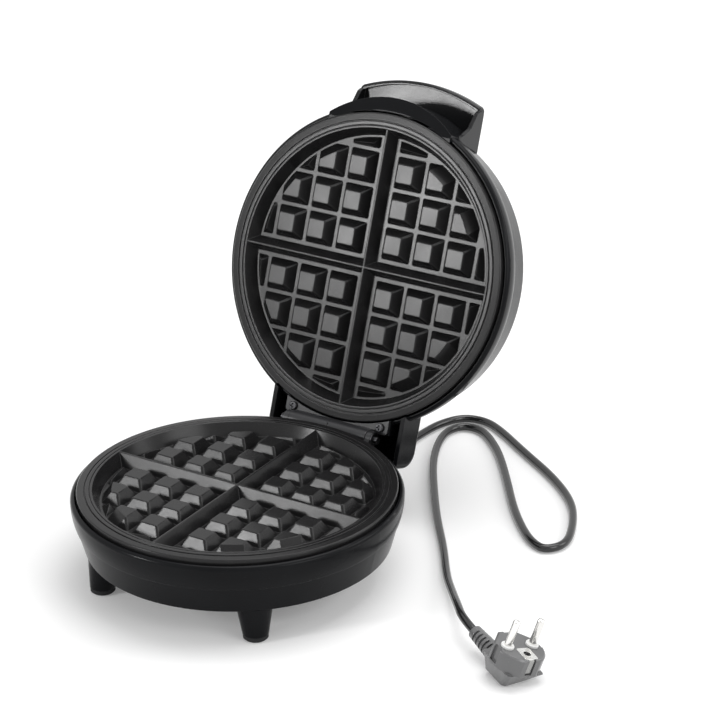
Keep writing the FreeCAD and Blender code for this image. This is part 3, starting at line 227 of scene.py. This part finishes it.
def moulded(name, dark, light, edge, rough, peel, edge_radius, **constants):
    """Moulded plastic: slow tone drift, fine peel, faint handling marks and rubbed edges."""
    dust_share, rub_haze = .10, .08
    dust_tone = tuple(c * 3 + .03 for c in edge)
    f = Finish(name, **constants)
    rounded = f.soft_edges(edge_radius)
    drift = f.noise(scale=22, detail=3)
    wear = f.span(f.noise(scale=160, detail=4), (.35, .65), (.35, 1))
    rub = f.sums("MULTIPLY", f.edge_mask(rounded), wear)
    dust = f.sums("MULTIPLY", f.flecks(scale=420, size=.05, soft=.05), dust_share)
    tone = f.tint(f.span(drift, (.32, .68), WHOLE), dark, light)
    tone = f.tint(rub, tone, edge)
    tone = f.tint(dust, tone, dust_tone)
    haze = f.span(f.noise(scale=34, detail=5, roughness=.6), MIDDLE, rough)
    haze = f.sums("ADD", haze, f.sums("MULTIPLY", rub, rub_haze))
    skin = f.relief(f.noise(scale=peel), strength=.12, depth=.00012, under=rounded)
    return f.done(tone, haze, skin)


def coated(name, dark, light, edge, rough, **constants):
    """Non-stick coat: grainy film with pale flecks, rubbed thin along the ridges."""
    fleck_share = .35
    f = Finish(name, **constants)
    rounded = f.soft_edges(radius=.0007)
    grain = f.noise(scale=2600)
    cloud = f.noise(scale=30, detail=4, roughness=.55)
    film = f.sums("ADD", f.span(cloud, MIDDLE, (0, .6)), f.span(grain, (.35, .65), (0, .4)))
    flecks = f.sums("MULTIPLY", f.flecks(scale=900, size=.12, soft=.08), fleck_share)
    wear = f.span(f.noise(scale=240, detail=3), MIDDLE, (.3, 1))
    rub = f.sums("MULTIPLY", f.edge_mask(rounded), wear)
    tone = f.tint(film, dark, light)
    tone = f.tint(flecks, tone, edge)
    tone = f.tint(rub, tone, edge)
    sheen = f.sums("ADD", f.span(cloud, (.25, .75), rough), f.span(grain, MIDDLE, (0, .06)))
    return f.done(tone, sheen, f.relief(grain, strength=.16, depth=.00008, under=rounded))


def metal(name, dark, light, rough, streak):
    """Worked metal: fine drawn streaks, cloudy polish and brighter edges."""
    edge_share = .5
    bright = tuple(min(1, c * 1.4 + .02) for c in light)
    f = Finish(name, Metallic=1.0)
    rounded = f.soft_edges(radius=.0002)
    lines = f.noise(scale=1, detail=3, roughness=.6, stretch=streak)
    cloud = f.noise(scale=70, detail=4)
    tone = f.tint(f.span(cloud, MIDDLE, WHOLE), dark, light)
    tone = f.tint(f.sums("MULTIPLY", f.edge_mask(rounded), edge_share), tone, bright)
    sheen = f.sums("ADD", f.span(lines, MIDDLE, rough), f.span(cloud, MIDDLE, (0, .06)))
    return f.done(tone, sheen, f.relief(lines, strength=.2, depth=.00004, under=rounded))


def painted(name, dark, light, bare, rough, **constants):
    """Semi-gloss paint on steel: pebbled film, worn to the metal along its edges."""
    f = Finish(name, **constants)
    rounded = f.soft_edges(radius=.0005)
    cloud = f.noise(scale=60, detail=4)
    wear = f.span(f.noise(scale=420, detail=4), (.46, .6), WHOLE)
    chips = f.sums("MULTIPLY", f.edge_mask(rounded, low=.02, high=.25), wear)
    tone = f.tint(f.span(cloud, MIDDLE, WHOLE), dark, light)
    tone = f.tint(chips, tone, bare)
    sheen = f.span(f.noise(scale=90, detail=5), MIDDLE, rough)
    pebble = f.noise(scale=1400)
    return f.done(tone, sheen, f.relief(pebble, strength=.18, depth=.0001, under=rounded))


def rubber(name, dark, light, dust, **constants):
    """Matt rubber: fine grain with a grey bloom of dust in its slow patches."""
    f = Finish(name, **constants)
    rounded = f.soft_edges(radius=.0004)
    grain = f.noise(scale=1900, detail=3)
    bloom = f.span(f.noise(scale=120, detail=5, roughness=.65), (.5, .75), (0, .5))
    tone = f.tint(f.span(grain, MIDDLE, WHOLE), dark, light)
    tone = f.tint(bloom, tone, dust)
    sheen = f.span(grain, MIDDLE, (.62, .82))
    return f.done(tone, sheen, f.relief(grain, strength=.3, depth=.00012, under=rounded))


def sleeve(name, dark, light):
    """Woven glass sleeve: two crossing sets of strands."""
    f = Finish(name)
    strands = []
    for turn in (.7, -.7):
        place = f.node("Mapping", Vector=f.place, Rotation=(turn, 0, turn)).outputs[0]
        wave = f.node("TexWave", {"bands_direction": "X"}, Vector=place, Scale=260, Distortion=.6)
        strands.append(wave.outputs["Fac"])
    weave = f.sums("MAXIMUM", *strands)
    tone = f.tint(weave, dark, light)
    sheen = f.span(weave, WHOLE, (.85, .6))
    return f.done(tone, sheen, f.relief(weave, strength=.5, depth=.0002))


def lens_plastic(name, deep, pale, **constants):
    """Clear tinted plastic with a fine inner haze."""
    f = Finish(name, **constants)
    rounded = f.soft_edges(radius=.0003)
    haze = f.noise(scale=260, detail=4)
    tone = f.tint(f.span(haze, MIDDLE, WHOLE), deep, pale)
    sheen = f.span(f.noise(scale=500, detail=3), MIDDLE, (.08, .18))
    return f.done(tone, sheen, f.relief(haze, strength=.06, depth=.0001, under=rounded))


look = {
    "housing": moulded("housing", dark=(.0045, .0047, .0054), light=(.0068, .0071, .0081),
                       edge=(.024, .025, .027), rough=(.17, .26), peel=900, edge_radius=.0006,
                       Specular_IOR_Level=.09),
    "grip": moulded("grip", dark=(.0050, .0052, .0059), light=(.0074, .0077, .0087), edge=(.024, .025, .027),
                    rough=(.14, .22), peel=900, edge_radius=.0006, Specular_IOR_Level=.27),
    "rubber": rubber("rubber", dark=(.010, .010, .011), light=(.018, .018, .019), dust=(.035, .035, .035),
                     Specular_IOR_Level=.3),
    "nonstick_plate": coated("nonstick_plate", dark=(.0085, .0083, .0086), light=(.014, .0137, .0142),
                             edge=(.06, .059, .06), rough=(.17, .24), Specular_IOR_Level=.24),
    "hinge_metal": painted("hinge_metal", dark=(.014, .014, .0155), light=(.022, .022, .024),
                           bare=(.16, .16, .16), rough=(.3, .42), Specular_IOR_Level=.4),
    "screw_steel": metal("screw_steel", dark=(.034, .034, .036), light=(.066, .066, .069), rough=(.24, .4),
                         streak=(900, 900, 60)),
    "element_steel": metal("element_steel", dark=(.36, .34, .32), light=(.5, .48, .45), rough=(.3, .48),
                           streak=(500, 500, 500)),
    "shield_sheet": metal("shield_sheet", dark=(.52, .52, .53), light=(.68, .68, .68), rough=(.22, .42),
                          streak=(30, 1600, 400)),
    "contact_brass": metal("contact_brass", dark=(.60, .60, .585), light=(.76, .76, .745), rough=(.16, .32),
                           streak=(1500, 90, 1500)),
    "clip_steel": metal("clip_steel", dark=(.26, .26, .255), light=(.38, .38, .37), rough=(.2, .34),
                        streak=(1500, 90, 1500)),
    "thermostat_case": metal("thermostat_case", dark=(.42, .42, .42), light=(.58, .58, .57), rough=(.24, .4),
                             streak=(60, 60, 1500)),
    "inner_plastic": moulded("inner_plastic", dark=(.66, .64, .58), light=(.76, .74, .68),
                             edge=(.82, .8, .76), rough=(.4, .55), peel=1100, edge_radius=.0004,
                             Specular_IOR_Level=.4),
    "lead_sleeve": sleeve("lead_sleeve", dark=(.42, .40, .36), light=(.78, .76, .70)),
    "cord_sheath": moulded("cord_sheath", dark=(.012, .012, .0125), light=(.017, .017, .0175),
                           edge=(.03, .03, .031), rough=(.11, .19), peel=1500, edge_radius=.0003,
                           Specular_IOR_Level=.5),
    "plug_plastic": moulded("plug_plastic", dark=(.115, .115, .117), light=(.145, .145, .147),
                            edge=(.25, .25, .252), rough=(.16, .24), peel=1500, edge_radius=.0006,
                            Specular_IOR_Level=.6),
    "pin_nickel": metal("pin_nickel", dark=(.72, .71, .69), light=(.86, .85, .83), rough=(.10, .2),
                        streak=(1300, 1300, 90)),
    "collar_white": moulded("collar_white", dark=(.74, .74, .73), light=(.84, .84, .83), edge=(.9, .9, .9),
                            rough=(.35, .5), peel=1200, edge_radius=.0003, Specular_IOR_Level=.4),
    "red_lens": lens_plastic("red_lens", deep=(.32, .010, .008), pale=(.58, .03, .02),
                             Transmission_Weight=.35, IOR=1.49),
    "green_lens": lens_plastic("green_lens", deep=(.012, .18, .03), pale=(.03, .36, .07),
                               Transmission_Weight=.35, IOR=1.49),
    "lamp_glass": lens_plastic("lamp_glass", deep=(.80, .66, .55), pale=(.9, .78, .68),
                               Transmission_Weight=.8, IOR=1.47),
}
nodes_with = {
    "housing": ("base_shell", "base_cover", "lid_shell"),
    "grip": ("lid_handle",),
    "rubber": ("cord_gland", "foot_pad_front_left", "foot_pad_front_right", "foot_pad_rear_left",
               "foot_pad_rear_right", "heel_pad_left", "heel_pad_right"),
    "nonstick_plate": ("lower_plate", "upper_plate"),
    "hinge_metal": ("lower_hinge_bracket", "lid_hinge_bracket"),
    "screw_steel": ("hinge_pin", "hinge_pin_clips", "lower_hinge_screws", "lid_hinge_screws",
                    "lower_plate_screws", "upper_plate_screws", "base_cover_screws", "handle_screws",
                    "cord_clamp_screws"),
    "element_steel": ("lower_element", "upper_element"),
    "shield_sheet": ("lower_heat_shield", "upper_heat_shield"),
    "contact_brass": ("lower_element_terminals", "upper_element_terminals", "plug_earth_plate"),
    "clip_steel": ("plug_earth_clips",),
    "thermostat_case": ("lower_thermostat", "upper_thermostat"),
    "inner_plastic": ("terminal_block", "cord_clamp"),
    "lead_sleeve": ("element_leads", "thermostat_lead"),
    "cord_sheath": ("mains_cord", "cord_tail"),
    "plug_plastic": ("plug_body", "plug_relief"),
    "pin_nickel": ("plug_pins",),
    "collar_white": ("plug_pin_collars",),
    "red_lens": ("power_lamp_lens",),
    "green_lens": ("ready_lamp_lens",),
    "lamp_glass": ("lamp_bodies",),
}
finish_of = {name: look[finish] for finish, names in nodes_with.items() for name in names}
for name, part in nodes.items():
    for slot in part.material_slots:
        slot.material = finish_of[name]
line.materials.append(look["cord_sheath"])

# Pale floor that keeps the part's shadow and runs out into the white behind it; its glow for camera and
# glossy rays is weaker close to the part, a painted shade that darkens the floor around it
floor_mesh = bpy.data.meshes.new("floor")
corners = [(x * FLOOR_HALF, y * FLOOR_HALF, 0) for x, y in ((-1, -1), (1, -1), (1, 1), (-1, 1))]
floor_mesh.from_pydata(corners, [], [(0, 1, 2, 3)])
floor = add_object("floor", floor_mesh)
floor.location.z = -FLOOR_DROP
paper = Finish("floor", Base_Color=(FLOOR_TONE, FLOOR_TONE, FLOOR_TONE, 1), Roughness=FLOOR_ROUGHNESS,
               Specular_IOR_Level=0.0, Emission_Color=WHITE)
apart = paper.node("VectorMath", {"operation": "LENGTH"})
paper.feed(apart.inputs[0], paper.place)
# Painted shade: the floor's glow is weaker close to the part and rises towards white with distance
glow_with_painted_shade = paper.span(apart.outputs["Value"], PAINTED_SHADE_GLOW_DISTANCE, PAINTED_SHADE_GLOW_STRENGTH)
paper.feed(paper.shader.inputs["Emission Strength"], paper.sums("MULTIPLY", glow_with_painted_shade, paper.sees_white()))
floor_mesh.materials.append(paper.material)

# White surroundings that light the part at a plain level
world = bpy.data.worlds.new("world")
scene.world = world
world.use_nodes = True
around = Nodes(world.node_tree)
sky = world.node_tree.nodes["Background"]
sky.inputs["Color"].default_value = WHITE
around.feed(sky.inputs["Strength"], around.span(around.sees_white(), WHOLE, (WORLD_STRENGTH, 1)))


def panel(name, place, aim, size, watts):
    lamp = bpy.data.lights.new(name, "AREA")
    lamp.shape = "RECTANGLE"
    lamp.size, lamp.size_y = size
    lamp.energy = watts
    holder = add_object(name, lamp)
    holder.location = place
    holder.rotation_mode = "QUATERNION"
    holder.rotation_quaternion = (Vector(aim) - Vector(place)).to_track_quat("-Z", "Y")


for name, values in LAMPS.items():
    panel(name, **values)

scene.view_settings.view_transform = "Standard"
bpy.context.view_layer.update()
